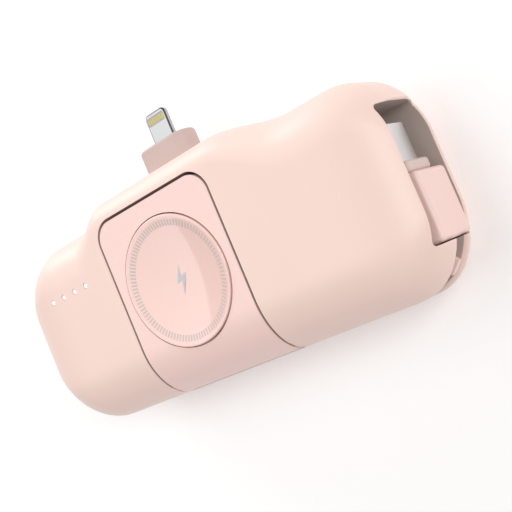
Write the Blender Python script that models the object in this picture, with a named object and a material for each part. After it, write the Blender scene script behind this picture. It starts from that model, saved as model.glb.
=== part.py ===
"""Pocket power bank with a flip-up watch pad, a fixed phone plug and a tethered cable plug.

The bank lies on its back. +X runs along it towards the bay of the cable plug, +Y points the way
the phone plug does, and +Z comes out of the front face. The back face is at Z = 0, and the origin
is under the middle of the whole object. Lengths are in metres.
"""
import math

import bmesh
import bpy
from mathutils import Matrix, Vector

MM = 0.001

# Housing: a rounded bar whose both ends taper like a superellipse, with a hump under the phone plug.
HALF_LENGTH = 61.95 * MM
THICKNESS = 29.0 * MM
MID_Z = THICKNESS / 2
BOTTOM_Y = -32.37 * MM
TOP_Y = 14.87 * MM
HUMP_HEIGHT = 3.5 * MM
HUMP_RISE_X = -25.0 * MM
HUMP_RISE_WIDTH = 12.0 * MM
HUMP_FALL_X = 27.5 * MM
HUMP_FALL_WIDTH = 20.0 * MM
PLAN_TAPER = 22.0 * MM
PLAN_POWER = 2.2
LEFT_TAPER = 19.0 * MM
LEFT_POWER = 1.9
RIGHT_TAPER = 15.5 * MM
RIGHT_POWER = 2.3
TOP_ROUND_Y = 11.0 * MM
TOP_ROUND_Z = 10.5 * MM
HUMP_ROUND_Y = 6.3 * MM
HUMP_ROUND_Z = 7.0 * MM
BOTTOM_ROUND_Y = 13.5 * MM
BOTTOM_ROUND_Z = 11.5 * MM
MID_Y = (BOTTOM_Y + TOP_Y) / 2
WALL = 2.0 * MM
GAP = 0.3 * MM

# Back cover, split from the shell near the back face, and its three screws.
SPLIT_Z = 3.2 * MM
COVER_THICKNESS = 2.0 * MM
POST_RADIUS = 2.4 * MM
SCREW_BORE = 1.25 * MM
SCREW_RADIUS = 0.95 * MM
SCREW_HEAD = 1.9 * MM
COUNTERBORE = 2.2 * MM
SCREW_PLACES = [(-33 * MM, -20 * MM), (45 * MM, 3 * MM), (45 * MM, -18 * MM)]

# Watch pad: a plate in a well of the front face, hinged on a steel pin near the bottom edge.
PAD_X = -1.85 * MM
PAD_HALF_WIDTH = 18.1 * MM
PAD_TOP_Y = 12.37 * MM
PAD_CORNER = 5.0 * MM
PAD_BACK_Z = 22.0 * MM
PAD_SIDE_GAP = 0.58 * MM
PAD_TOP_GAP = 0.72 * MM
PIN_Y = -27.84 * MM
PIN_Z = 19.5 * MM
PIN_RADIUS = 1.0 * MM
PIN_BORE = 1.3 * MM
PIN_HALF_LENGTH = 23.5 * MM
PIN_BOSS_RADIUS = 3.0 * MM
KNUCKLE_RADIUS = 4.33 * MM
KNUCKLE_WELL_RADIUS = 5.0 * MM
KNUCKLE_WELL_HALF_WIDTH = 18.8 * MM
PIN_MIDDLE = (PAD_X, PIN_Y, PIN_Z)
DISC_MIDDLE = (PAD_X, -7.535 * MM, 0.0)
DISC_RADIUS = 15.35 * MM
DISC_RECESS_RADIUS = 15.65 * MM
DISC_FLANGE_Z = 27.3 * MM
DISC_BOTTOM_Z = 26.1 * MM
DISC_BOSS_RADIUS = 13.9 * MM
DISC_FRONT_Z = 29.35 * MM
DISH_RADIUS = 14.9 * MM
DISH_DEPTH = 2.2 * MM

# Phone plug: an oval seat on the hump and the flat tongue that stands in it.
SEAT_X = -0.6 * MM
SEAT_HALF_LENGTH = 8.1 * MM
SEAT_HALF_WIDTH = 4.0 * MM
SEAT_TOP_Y = 25.27 * MM
FLANGE_Y = 14.2 * MM
FLANGE_THICKNESS = 1.9 * MM
TONGUE_WIDTH = 6.7 * MM
TONGUE_THICKNESS = 1.5 * MM
TONGUE_TIP_Y = 33.0 * MM
TONGUE_ROOT_Y = 17.2 * MM
CONTACT_ROW_HALF = 2.75 * MM
CONTACT_RECESS_Y = (29.95 * MM, 32.05 * MM)
CONTACT_RECESS_DEPTH = 0.3 * MM
CONTACT_PITCH = 0.66 * MM
CONTACT_HALF_WIDTH = 0.2 * MM

# Bay for the cable plug in the right-hand end, and the trough that leads its cable away.
BAY_FLOOR_X = 50.0 * MM
BAY_LOW = (-23.2 * MM, 7.3 * MM)
BAY_HIGH = (6.77 * MM, 23.0 * MM)
GRIP_LOW = (52.15 * MM, -22.9 * MM, 7.8 * MM)
GRIP_HIGH = (58.95 * MM, -8.0 * MM, 21.2 * MM)
PLUG_X = 54.45 * MM
USB_WIDTH = 8.25 * MM
USB_THICKNESS = 2.4 * MM
USB_TIP_Y = 2.97 * MM
CABLE_RADIUS = 1.5 * MM
CABLE_EXIT_X = 54.0 * MM
CABLE_DEPTH = 3.6 * MM
TROUGH_DEPTH = 5.5 * MM
TROUGH_HALF_WIDTH = 2.5 * MM
TROUGH_START_X = 27.0 * MM

# Inside: two round cells, their holders, the circuit board and what it carries.
CELL_RADIUS = 9.0 * MM
CELL_START_X = -25.5 * MM
CELL_END_X = 39.5 * MM
CELL_Z = 11.2 * MM
CELL_YS = (-14.7 * MM, 3.6 * MM)
BOARD_LOW = (-54.5 * MM, -16.8 * MM, 16.4 * MM)
BOARD_HIGH = (-28.6 * MM, 4 * MM, 17.6 * MM)
LED_XS = [(-43.45 + 4.41 * index) * MM for index in range(4)]
LED_Y = 1.34 * MM
LED_RADIUS = 0.6 * MM
BUTTON_X = -43.0 * MM
BUTTON_HALF_LENGTH = 4.0 * MM
BUTTON_HALF_WIDTH = 1.9 * MM
BUTTON_TOP_Y = 15.35 * MM

FAR = 90 * MM


# ---------------------------------------------------------------- scene, materials and objects

def clear_scene():
    """Remove every object that the file opened with."""
    for old in list(bpy.data.objects):
        bpy.data.objects.remove(old, do_unlink=True)


def material(name, colour, roughness, metallic=0.0):
    """A Principled material of one colour."""
    made = bpy.data.materials.new(name)
    made.use_nodes = True
    shader = made.node_tree.nodes["Principled BSDF"]
    shader.inputs["Base Color"].default_value = (*colour, 1.0)
    shader.inputs["Roughness"].default_value = roughness
    shader.inputs["Metallic"].default_value = metallic
    return made


def finish_mesh(name, mesh_data, look=None):
    """Turn a bmesh into a named object, smooth except at its edges; without a look it is a cutter."""
    bmesh.ops.recalc_face_normals(mesh_data, faces=mesh_data.faces)
    mesh = bpy.data.meshes.new(name)
    mesh_data.to_mesh(mesh)
    mesh_data.free()
    mesh.shade_smooth()
    mesh.set_sharp_from_angle(angle=math.radians(32))
    made = bpy.data.objects.new(name, mesh)
    bpy.context.scene.collection.objects.link(made)
    if look is None:
        made.hide_render = True
        made.display_type = "WIRE"
    else:
        mesh.materials.append(look)
    return made


def combine(target, other, operation):
    """Add one Boolean step to an object."""
    step = target.modifiers.new(f"{operation.lower()}_{other.name}", "BOOLEAN")
    step.operation = operation
    step.solver = "EXACT"
    step.object = other


def soften(target, width, segments=2):
    """Round an object's sharp edges."""
    step = target.modifiers.new("soft_edges", "BEVEL")
    step.width = width
    step.segments = segments
    step.limit_method = "ANGLE"
    step.angle_limit = math.radians(40)


def hang_on(pieces, name, place):
    """Parent the pieces of a moving body to an empty that lies on its joint's axis."""
    pivot = bpy.data.objects.new(name, None)
    pivot.location = place
    bpy.context.scene.collection.objects.link(pivot)
    for piece in pieces:
        piece.parent = pivot
        piece.matrix_parent_inverse = Matrix.Translation(Vector(place)).inverted()


# ---------------------------------------------------------------- simple solids

AXIS_TURNS = {
    "X": Matrix(((0, 0, 1), (1, 0, 0), (0, 1, 0))).to_4x4(),
    "Y": Matrix(((0, 1, 0), (0, 0, 1), (1, 0, 0))).to_4x4(),
    "Z": Matrix.Identity(4),
}


def box(name, low, high, look=None):
    """A box between two corners."""
    mesh_data = bmesh.new()
    bmesh.ops.create_cube(mesh_data, size=1.0)
    for vert in mesh_data.verts:
        vert.co = Vector([low[i] + (high[i] - low[i]) * (vert.co[i] + 0.5) for i in range(3)])
    return finish_mesh(name, mesh_data, look)


def prism(name, outline, start, end, axis, look=None):
    """An outline pushed along an axis. It is drawn in the plane of the next two axes in turn."""
    mesh_data = bmesh.new()
    turn = AXIS_TURNS[axis]
    near = [mesh_data.verts.new(turn @ Vector((u, v, start))) for u, v in outline]
    far = [mesh_data.verts.new(turn @ Vector((u, v, end))) for u, v in outline]
    mesh_data.faces.new(list(reversed(near)))
    mesh_data.faces.new(far)
    for index in range(len(near)):
        following = (index + 1) % len(near)
        mesh_data.faces.new((near[index], near[following], far[following], far[index]))
    return finish_mesh(name, mesh_data, look)


def turned(name, profile, centre, axis, look=None, segments=32):
    """A profile of (radius, height) points turned round an axis through centre."""
    mesh_data = bmesh.new()
    place = Matrix.Translation(Vector(centre)) @ AXIS_TURNS[axis]
    rings = []
    for radius, height in profile:
        count = segments if radius > 0 else 1
        angles = [2 * math.pi * step / segments for step in range(count)]
        points = [(radius * math.cos(a), radius * math.sin(a), height) for a in angles]
        rings.append([mesh_data.verts.new(place @ Vector(point)) for point in points])
    on_axis = profile[0][0] == 0
    pairs = list(zip(rings, rings[1:])) if on_axis else list(zip(rings, rings[1:] + rings[:1]))
    for lower, upper in pairs:
        for step in range(segments):
            following = (step + 1) % segments
            corners = [lower[step % len(lower)], lower[following % len(lower)],
                       upper[following % len(upper)], upper[step % len(upper)]]
            mesh_data.faces.new(list(dict.fromkeys(corners)))
    return finish_mesh(name, mesh_data, look)


def rod(name, radius, start, end, centre, axis, look=None, segments=32):
    """A round bar between two heights along an axis."""
    profile = [(0, start), (radius, start), (radius, end), (0, end)]
    return turned(name, profile, centre, axis, look, segments)


def rounded_rectangle(centre, half_u, half_v, radius, steps=5):
    """The corner points of a rectangle with round corners, counter-clockwise."""
    points = []
    for corner, (sign_u, sign_v) in enumerate(((1, 1), (-1, 1), (-1, -1), (1, -1))):
        for step in range(steps + 1):
            angle = math.pi / 2 * (corner + step / steps)
            points.append((centre[0] + sign_u * (half_u - radius) + radius * math.cos(angle),
                           centre[1] + sign_v * (half_v - radius) + radius * math.sin(angle)))
    return points


def stadium(centre, half_u, half_v, steps=8):
    """An oval with straight sides and round ends, flattened by a hair where the ends meet."""
    return rounded_rectangle(centre, half_u, half_v, min(half_u, half_v) * 0.995, steps)


# ---------------------------------------------------------------- shape of the housing

def smooth_step(value):
    """Ease from 0 to 1 as value goes from 0 to 1."""
    value = min(max(value, 0.0), 1.0)
    return value * value * (3 - 2 * value)


def fullness(inward, taper, power):
    """Size of the section, from 0 at the tip to 1 one taper length inward."""
    outward = min(max(1 - inward / taper, 0.0), 1.0)
    return (1 - outward ** power) ** (1 / power)


def hump(x):
    """Share of the hump's height reached at x."""
    rise = smooth_step((x - HUMP_RISE_X) / HUMP_RISE_WIDTH + 0.5)
    fall = smooth_step((x - HUMP_FALL_X) / HUMP_FALL_WIDTH + 0.5)
    return rise * (1 - fall)


def tall(x):
    """Share of the full height that the section has at x, from the tapers of both ends."""
    left = fullness(x + HALF_LENGTH, LEFT_TAPER, LEFT_POWER)
    right = fullness(HALF_LENGTH - x, RIGHT_TAPER, RIGHT_POWER)
    return left * right


def section(x, inset, steps):
    """Points of the housing's cross-section at x, inset from the outer surface."""
    x = x * HALF_LENGTH / (HALF_LENGTH - inset)
    height = tall(x)
    depth = fullness(HALF_LENGTH - abs(x), PLAN_TAPER, PLAN_POWER)
    share = hump(x)
    top = MID_Y + (TOP_Y + HUMP_HEIGHT * share - MID_Y) * height - inset
    bottom = MID_Y + (BOTTOM_Y - MID_Y) * height + inset
    half = MID_Z * depth - inset
    top_round = (max((TOP_ROUND_Y + (HUMP_ROUND_Y - TOP_ROUND_Y) * share) * height - inset, MM),
                 max((TOP_ROUND_Z + (HUMP_ROUND_Z - TOP_ROUND_Z) * share) * depth - inset, MM))
    bottom_round = (max(BOTTOM_ROUND_Y * height - inset, MM), max(BOTTOM_ROUND_Z * depth - inset, MM))
    corners = ((top, 1, 1, top_round), (bottom, -1, 1, bottom_round),
               (bottom, -1, -1, bottom_round), (top, 1, -1, top_round))
    points = []
    for corner, (edge, side_y, side_z, (round_y, round_z)) in enumerate(corners):
        for step in range(steps + 1):
            angle = math.pi / 2 * (corner + step / steps)
            points.append((edge - side_y * round_y + round_y * math.cos(angle),
                           MID_Z + side_z * (half - round_z) + round_z * math.sin(angle)))
    return points


def stations(first_angle, end_steps, middle_steps, inset):
    """X places of the sections, closer together towards the tips."""
    reach = HALF_LENGTH - inset
    ends = []
    for step in range(end_steps):
        angle = first_angle + (math.pi / 2 - first_angle) * step / end_steps
        ends.append(reach - PLAN_TAPER * (1 - math.cos(angle) ** (2 / PLAN_POWER)))
    inner = reach - PLAN_TAPER
    middle = [-inner + 2 * inner * step / middle_steps for step in range(middle_steps + 1)]
    return [-x for x in ends] + middle + ends[::-1]


def housing_solid(name, inset, first_angle, end_steps, middle_steps, steps, look=None):
    """The housing's outer shape, or its hollow, as one skin through all sections."""
    mesh_data = bmesh.new()
    rings = []
    for x in stations(first_angle, end_steps, middle_steps, inset):
        rings.append([mesh_data.verts.new((x, y, z)) for y, z in section(x, inset, steps)])
    mesh_data.faces.new(list(reversed(rings[0])))
    mesh_data.faces.new(rings[-1])
    for lower, upper in zip(rings, rings[1:]):
        for index in range(len(lower)):
            following = (index + 1) % len(lower)
            mesh_data.faces.new((lower[index], lower[following], upper[following], upper[index]))
    return finish_mesh(name, mesh_data, look)


def outer_solid(name, look=None):
    """The whole outer shape of the housing."""
    return housing_solid(name, 0.0, math.radians(10), 9, 22, 7, look)


def hollow_solid(name):
    """The hollow inside the housing's walls."""
    return housing_solid(name, WALL, math.radians(24), 6, 16, 4)


# ---------------------------------------------------------------- shared cut shapes

def pad_outline(side_gap, top_gap):
    """Front outline of the watch pad, straight at the bottom, where it runs over the edge."""
    radius = PAD_CORNER + side_gap
    half = PAD_HALF_WIDTH + side_gap
    top = PAD_TOP_Y + top_gap
    corner = [(half - radius + radius * math.cos(a), top - radius + radius * math.sin(a))
              for a in [math.pi / 2 * step / 6 for step in range(7)]]
    right = [(half, -FAR)] + corner
    left = [(-x, y) for x, y in reversed(corner)] + [(-half, -FAR)]
    return [(PAD_X + x, y) for x, y in right + left]


def corner_point(angle, depth):
    """A point of the end's lower corner, at depth under the surface; angle is 90 degrees where it
    meets the straight bottom and falls towards the tip."""
    across = math.cos(angle) ** (2 / RIGHT_POWER)
    down = math.sin(angle) ** (2 / RIGHT_POWER)
    shrink = (HALF_LENGTH - depth) / HALF_LENGTH
    x = (HALF_LENGTH - RIGHT_TAPER * (1 - across)) * shrink
    y = MID_Y + (BOTTOM_Y - MID_Y) * down + depth
    return x, y


def corner_line(depth, first=38, steps=9):
    """The lower corner of the end at one depth, from the bay down to the straight bottom."""
    span = 90 - first
    return [corner_point(math.radians(first + span * step / steps), depth) for step in range(steps + 1)]


def trough_solid(name, depth, half_width, start_x):
    """The room between the outer surface and a depth under it, along the corner and the bottom."""
    floor = corner_line(depth)
    outline = [(start_x, floor[-1][1])] + floor[::-1]
    outline += [(FAR, floor[0][1]), (FAR, -FAR), (start_x, -FAR)]
    return prism(name, outline[::-1], MID_Z - half_width, MID_Z + half_width, "Z")


# ---------------------------------------------------------------- housing pieces

def shell_hollow():
    """What is taken out of the shell: the hollow, less the walls of the wells, posts and trough."""
    wall = 1.6 * MM
    hollow = hollow_solid("hollow")
    kept = [
        prism("well_walls", pad_outline(PAD_SIDE_GAP + wall, PAD_TOP_GAP + wall),
              PAD_BACK_Z - GAP - wall + 0.4 * MM, FAR, "Z"),
        rod("knuckle_walls", KNUCKLE_WELL_RADIUS + 1.3 * MM, -PAD_HALF_WIDTH - 2 * MM,
            PAD_HALF_WIDTH + 2 * MM, PIN_MIDDLE, "X"),
        rod("pin_bosses", PIN_BOSS_RADIUS, -PIN_HALF_LENGTH - 1.5 * MM, PIN_HALF_LENGTH + 1.5 * MM,
            PIN_MIDDLE, "X"),
        box("bay_walls", (BAY_FLOOR_X - wall, BAY_LOW[0] - wall, BAY_LOW[1] - wall),
            (FAR, BAY_HIGH[0] + wall, BAY_HIGH[1] + wall)),
        trough_solid("trough_walls", TROUGH_DEPTH + wall, TROUGH_HALF_WIDTH + wall,
                     TROUGH_START_X - wall),
    ]
    kept += [rod(f"post_{index}", POST_RADIUS, 0, FAR, (x, y, 0), "Z", segments=20)
             for index, (x, y) in enumerate(SCREW_PLACES)]
    for piece in kept:
        combine(hollow, piece, "DIFFERENCE")
    return hollow


def shell_openings():
    """Every opening that is cut through the shell's walls."""
    seat = stadium((MID_Z, SEAT_X), SEAT_HALF_WIDTH + GAP, SEAT_HALF_LENGTH + GAP)
    button = stadium((MID_Z, BUTTON_X), BUTTON_HALF_WIDTH + GAP, BUTTON_HALF_LENGTH + GAP)
    socket = stadium((MID_Y, MID_Z), 4.8 * MM, 1.95 * MM)
    bay = rounded_rectangle(((BAY_LOW[0] + BAY_HIGH[0]) / 2, (BAY_LOW[1] + BAY_HIGH[1]) / 2),
                            (BAY_HIGH[0] - BAY_LOW[0]) / 2, (BAY_HIGH[1] - BAY_LOW[1]) / 2, 1.2 * MM)
    openings = [
        prism("pad_well", pad_outline(PAD_SIDE_GAP, PAD_TOP_GAP), PAD_BACK_Z - GAP, FAR, "Z"),
        rod("knuckle_well", KNUCKLE_WELL_RADIUS, -KNUCKLE_WELL_HALF_WIDTH, KNUCKLE_WELL_HALF_WIDTH,
            PIN_MIDDLE, "X"),
        rod("pin_bores", PIN_BORE, -PIN_HALF_LENGTH - GAP, PIN_HALF_LENGTH + GAP,
            PIN_MIDDLE, "X", segments=16),
        prism("plug_bay", bay, BAY_FLOOR_X, FAR, "X"),
        trough_solid("cable_trough", TROUGH_DEPTH, TROUGH_HALF_WIDTH, TROUGH_START_X),
        rod("gland_hole", 2.65 * MM, 24 * MM, 29 * MM, (0, BOTTOM_Y + CABLE_DEPTH, MID_Z), "X",
            segments=20),
        prism("seat_hole", seat, 10 * MM, FAR, "Y"),
        prism("button_hole", button, 8 * MM, FAR, "Y"),
        prism("socket_hole", socket, -FAR, -55 * MM, "X"),
    ]
    openings += [rod(f"lamp_hole_{index}", LED_RADIUS + 0.15 * MM, 20 * MM, FAR, (x, LED_Y, 0), "Z",
                     segments=14) for index, x in enumerate(LED_XS)]
    openings += [rod(f"screw_bore_{index}", SCREW_BORE, 0, 9 * MM, (x, y, 0), "Z", segments=14)
                 for index, (x, y) in enumerate(SCREW_PLACES)]
    return openings


def build_shell(look):
    """Front shell: walls, wells, bay and screw posts in one moulding, open at the back."""
    shell = outer_solid("main_shell", look)
    combine(shell, box("behind_split", (-FAR, -FAR, -FAR), (FAR, FAR, SPLIT_Z + GAP / 2)), "DIFFERENCE")
    combine(shell, shell_hollow(), "DIFFERENCE")
    for opening in shell_openings():
        combine(shell, opening, "DIFFERENCE")


def build_back_cover(look):
    """Back cover: a shallow tray with a rim, and three counterbored screw holes."""
    cover = outer_solid("back_cover", look)
    combine(cover, box("before_split", (-FAR, -FAR, SPLIT_Z - GAP / 2), (FAR, FAR, FAR)), "DIFFERENCE")
    combine(cover, hollow_solid("cover_hollow"), "DIFFERENCE")
    for index, (x, y) in enumerate(SCREW_PLACES):
        profile = [(0, -MM), (COUNTERBORE, -MM), (COUNTERBORE, 1.2 * MM), (SCREW_BORE, 1.2 * MM),
                   (SCREW_BORE, FAR), (0, FAR)]
        combine(cover, turned(f"cover_hole_{index}", profile, (x, y, 0), "Z", segments=20), "DIFFERENCE")


def build_screws(look):
    """Three pan-head screws that hold the back cover to the shell's posts."""
    head = 0.9 * MM
    profile = [(0, 0), (SCREW_HEAD * 0.85, 0), (SCREW_HEAD, 0.25 * MM), (SCREW_HEAD, head),
               (SCREW_RADIUS, head), (SCREW_RADIUS, 7.5 * MM), (0, 8.2 * MM)]
    for index, (x, y) in enumerate(SCREW_PLACES, start=1):
        turned(f"cover_screw_{index}", profile, (x, y, 0.15 * MM), "Z", look, segments=18)


# ---------------------------------------------------------------- watch pad

def build_pad_panel(look):
    """Front panel of the pad: it follows the housing's skin and ends in the hinge knuckle."""
    panel = outer_solid("pad_panel", look)
    combine(panel, prism("pad_blank", pad_outline(0, 0), PAD_BACK_Z, FAR, "Z"), "INTERSECT")
    combine(panel, rod("knuckle", KNUCKLE_RADIUS, -PAD_HALF_WIDTH, PAD_HALF_WIDTH,
                       PIN_MIDDLE, "X", segments=40), "UNION")
    hollow = rounded_rectangle((PAD_X, -5.2 * MM), 16.2 * MM, 15.6 * MM, 3.5 * MM)
    combine(panel, prism("pad_hollow", hollow, 0, 25.9 * MM, "Z"), "DIFFERENCE")
    recess = [(0, 24 * MM), (DISC_BOSS_RADIUS + GAP, 24 * MM), (DISC_BOSS_RADIUS + GAP, DISC_FLANGE_Z - GAP),
              (DISC_RECESS_RADIUS, DISC_FLANGE_Z - GAP), (DISC_RECESS_RADIUS, FAR), (0, FAR)]
    combine(panel, turned("disc_recess", recess, DISC_MIDDLE, "Z", segments=64), "DIFFERENCE")
    combine(panel, rod("knuckle_bore", PIN_BORE, -FAR, FAR, PIN_MIDDLE, "X", segments=16),
            "DIFFERENCE")
    return panel


def build_pad_inside(plate_look, disc_look, copper, ferrite, steel, board):
    """Back plate, dished charging disc, coil, ferrite, magnet and small board of the pad."""
    plate = rounded_rectangle((PAD_X, -5.2 * MM), 15.9 * MM, 15.3 * MM, 3.2 * MM)
    coil = [(4.5 * MM, 24.8 * MM), (12.6 * MM, 24.8 * MM), (12.6 * MM, 25.7 * MM), (4.5 * MM, 25.7 * MM)]
    disc = [(0, DISC_BOTTOM_Z), (DISC_BOSS_RADIUS, DISC_BOTTOM_Z), (DISC_BOSS_RADIUS, DISC_FLANGE_Z),
            (DISC_RADIUS, DISC_FLANGE_Z), (DISC_RADIUS, DISC_FRONT_Z - 0.25 * MM),
            (DISC_RADIUS - 0.25 * MM, DISC_FRONT_Z)]
    disc += [(DISH_RADIUS * share, DISC_FRONT_Z - DISH_DEPTH * (1 - share * share))
             for share in [1 - step / 8 for step in range(9)]]
    return [
        prism("pad_back_plate", plate, PAD_BACK_Z + 0.1 * MM, PAD_BACK_Z + 1.1 * MM, "Z", plate_look),
        turned("charge_disc", disc, DISC_MIDDLE, "Z", disc_look, segments=64),
        turned("charge_coil", coil, DISC_MIDDLE, "Z", copper, segments=40),
        rod("ferrite_sheet", 13.2 * MM, 24.1 * MM, 24.5 * MM, DISC_MIDDLE, "Z", ferrite, segments=40),
        rod("centre_magnet", 3.8 * MM, 24.8 * MM, 25.8 * MM, DISC_MIDDLE, "Z", steel, segments=28),
        box("pad_board", (PAD_X - 10 * MM, -4 * MM, 23.3 * MM), (PAD_X + 10 * MM, 8 * MM, 23.8 * MM), board),
    ]


def build_hinge_pin(look):
    """Steel pin through the knuckle, held in blind bores of the shell on both sides."""
    rod("pad_hinge_pin", PIN_RADIUS, -PIN_HALF_LENGTH, PIN_HALF_LENGTH, PIN_MIDDLE, "X", look, 16)


# ---------------------------------------------------------------- phone plug

def build_phone_plug(seat_look, face_look, gold):
    """Oval seat with its flange, the flat tongue in it, and a comb of contacts on each face."""
    outline = stadium((MID_Z, SEAT_X), SEAT_HALF_WIDTH, SEAT_HALF_LENGTH)
    seat = prism("phone_plug_seat", outline, FLANGE_Y, SEAT_TOP_Y, "Y", seat_look)
    soften(seat, 0.5 * MM)
    flange = stadium((MID_Z, SEAT_X), SEAT_HALF_WIDTH + 0.9 * MM, SEAT_HALF_LENGTH + 1.9 * MM)
    combine(seat, prism("seat_flange", flange, FLANGE_Y + 0.1 * MM, FLANGE_Y + FLANGE_THICKNESS, "Y"),
            "UNION")
    slot = rounded_rectangle((MID_Z, SEAT_X), TONGUE_THICKNESS / 2 + GAP, TONGUE_WIDTH / 2 + GAP, 0.5 * MM)
    combine(seat, prism("tongue_slot", slot, TONGUE_ROOT_Y - GAP, FAR, "Y"), "DIFFERENCE")
    blade = rounded_rectangle((SEAT_X, (TONGUE_ROOT_Y + TONGUE_TIP_Y) / 2), TONGUE_WIDTH / 2,
                              (TONGUE_TIP_Y - TONGUE_ROOT_Y) / 2, 1.2 * MM)
    tongue = prism("phone_plug_tongue", blade, MID_Z - TONGUE_THICKNESS / 2,
                   MID_Z + TONGUE_THICKNESS / 2, "Z", face_look)
    soften(tongue, 0.3 * MM)
    for side, name in ((1, "front"), (-1, "back")):
        surface = MID_Z + side * TONGUE_THICKNESS / 2
        recess = box(f"contact_recess_{name}",
                     (SEAT_X - CONTACT_ROW_HALF, CONTACT_RECESS_Y[0], surface - CONTACT_RECESS_DEPTH),
                     (SEAT_X + CONTACT_ROW_HALF, CONTACT_RECESS_Y[1], surface + CONTACT_RECESS_DEPTH))
        combine(tongue, recess, "DIFFERENCE")
        low, high = sorted((surface - side * 0.2 * MM, surface - side * 0.05 * MM))
        prism(f"phone_plug_contacts_{name}", contact_comb(), low, high, "Z", gold)


def contact_comb():
    """Outline of eight contact pads joined by a strip at their foot."""
    half = CONTACT_HALF_WIDTH
    foot, tip = CONTACT_RECESS_Y[0] + 0.2 * MM, CONTACT_RECESS_Y[1] - 0.2 * MM
    shoulder = foot + 0.25 * MM
    start = SEAT_X - 3.5 * CONTACT_PITCH
    outline = [(start + 7 * CONTACT_PITCH + half, foot)]
    for index in reversed(range(8)):
        centre = start + index * CONTACT_PITCH
        outline += [(centre + half, shoulder), (centre + half, tip), (centre - half, tip),
                    (centre - half, shoulder)]
    outline.append((start - half, foot))
    return outline


# ---------------------------------------------------------------- cable plug and its cable

def build_cable_plug(grip_look, metal, plastic):
    """Moulded grip, the collar on it, and the plug's metal shell with its inner carrier."""
    grip = box("cable_plug_grip", GRIP_LOW, GRIP_HIGH, grip_look)
    soften(grip, 0.9 * MM, 3)
    collar = box("cable_plug_collar", (52.6 * MM, GRIP_HIGH[1] + 0.15 * MM, 9.45 * MM),
                 (57.1 * MM, -5.3 * MM, 19.55 * MM), grip_look)
    soften(collar, 0.7 * MM, 3)
    outer = stadium((MID_Z, PLUG_X), USB_WIDTH / 2, USB_THICKNESS / 2)
    inner = stadium((MID_Z, PLUG_X), USB_WIDTH / 2 - 0.3 * MM, USB_THICKNESS / 2 - 0.3 * MM)
    tube = prism("cable_plug_shell", outer, -5.15 * MM, USB_TIP_Y, "Y", metal)
    combine(tube, prism("shell_mouth", inner, -4.5 * MM, FAR, "Y"), "DIFFERENCE")
    carrier = stadium((MID_Z, PLUG_X), USB_WIDTH / 2 - 0.45 * MM, USB_THICKNESS / 2 - 0.45 * MM)
    core = prism("cable_plug_core", carrier, -4.3 * MM, USB_TIP_Y - 0.4 * MM, "Y", plastic)
    slot = box("core_slot", (PLUG_X - 0.35 * MM, -2 * MM, MID_Z - 3.2 * MM),
               (PLUG_X + 0.35 * MM, FAR, MID_Z + 3.2 * MM))
    combine(core, slot, "DIFFERENCE")
    return [grip, collar, tube, core]


def cable_route():
    """The cable's middle line, from the grip round the lower corner to the gland."""
    line = corner_line(CABLE_DEPTH, first=57, steps=7)
    leave_y = GRIP_LOW[1] - GAP
    route = [(CABLE_EXIT_X, leave_y), (CABLE_EXIT_X, leave_y - 0.8 * MM)] + line
    run = line[-1][0] - 22.5 * MM
    steps = 6
    route += [(line[-1][0] - run * step / steps, line[-1][1]) for step in range(1, steps + 1)]
    return route


def build_cable(look):
    """The cable lies in its trough, held by the grip, the clip and the gland."""
    curve = bpy.data.curves.new("plug_cable", "CURVE")
    curve.dimensions = "3D"
    curve.bevel_depth = CABLE_RADIUS
    curve.bevel_resolution = 2
    curve.use_fill_caps = True
    spline = curve.splines.new("POLY")
    route = cable_route()
    spline.points.add(len(route) - 1)
    for point, (x, y) in zip(spline.points, route):
        point.co = (x, y, MID_Z, 1.0)
    curve.materials.append(look)
    bpy.context.scene.collection.objects.link(bpy.data.objects.new("plug_cable", curve))


def build_cable_holders(grommet, clip_look):
    """The gland where the cable enters the shell, and the clip across the trough."""
    profile = [(1.75 * MM, 24.2 * MM), (2.35 * MM, 24.2 * MM), (2.35 * MM, 28.2 * MM),
               (1.75 * MM, 28.6 * MM)]
    turned("cable_gland", profile, (0, BOTTOM_Y + CABLE_DEPTH, MID_Z), "X", grommet, segments=20)
    angles = [math.radians(52 + 3 * step) for step in range(5)]
    outer = [corner_point(angle, 0.5 * MM) for angle in angles]
    inner = [corner_point(angle, 1.5 * MM) for angle in angles]
    prism("cable_clip", outer + inner[::-1], MID_Z - TROUGH_HALF_WIDTH + GAP, MID_Z - 0.5 * MM, "Z",
          clip_look)


# ---------------------------------------------------------------- what is inside

def build_cells(wrap, frame, nickel):
    """Two cells side by side, the holder at each end, and the nickel strip that joins them."""
    for name, y in zip(("lower", "upper"), CELL_YS):
        rod(f"battery_cell_{name}", CELL_RADIUS, CELL_START_X, CELL_END_X, (0, y, CELL_Z), "X", wrap, 36)
    middle = (CELL_YS[0] + CELL_YS[1]) / 2
    spread = CELL_YS[1] - CELL_YS[0]
    for name, end, side in (("left", CELL_START_X, -1), ("right", CELL_END_X, 1)):
        low, high = sorted((end + side * 0.7 * MM, end + side * 2.3 * MM))
        plate = prism(f"cell_holder_{name}", rounded_rectangle((middle, CELL_Z), spread / 2 + 7.6 * MM,
                                                               7.6 * MM, 5 * MM), low, high, "X", frame)
        for number, y in enumerate(CELL_YS):
            combine(plate, rod(f"window_{name}_{number}", 4.5 * MM, -FAR, FAR, (0, y, CELL_Z), "X",
                               segments=24), "DIFFERENCE")
        low, high = sorted((end + side * 0.2 * MM, end + side * 0.4 * MM))
        box(f"nickel_strip_{name}", (low, CELL_YS[0] - 3 * MM, CELL_Z - 3.5 * MM),
            (high, CELL_YS[1] + 3 * MM, CELL_Z + 3.5 * MM), nickel)


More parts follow.
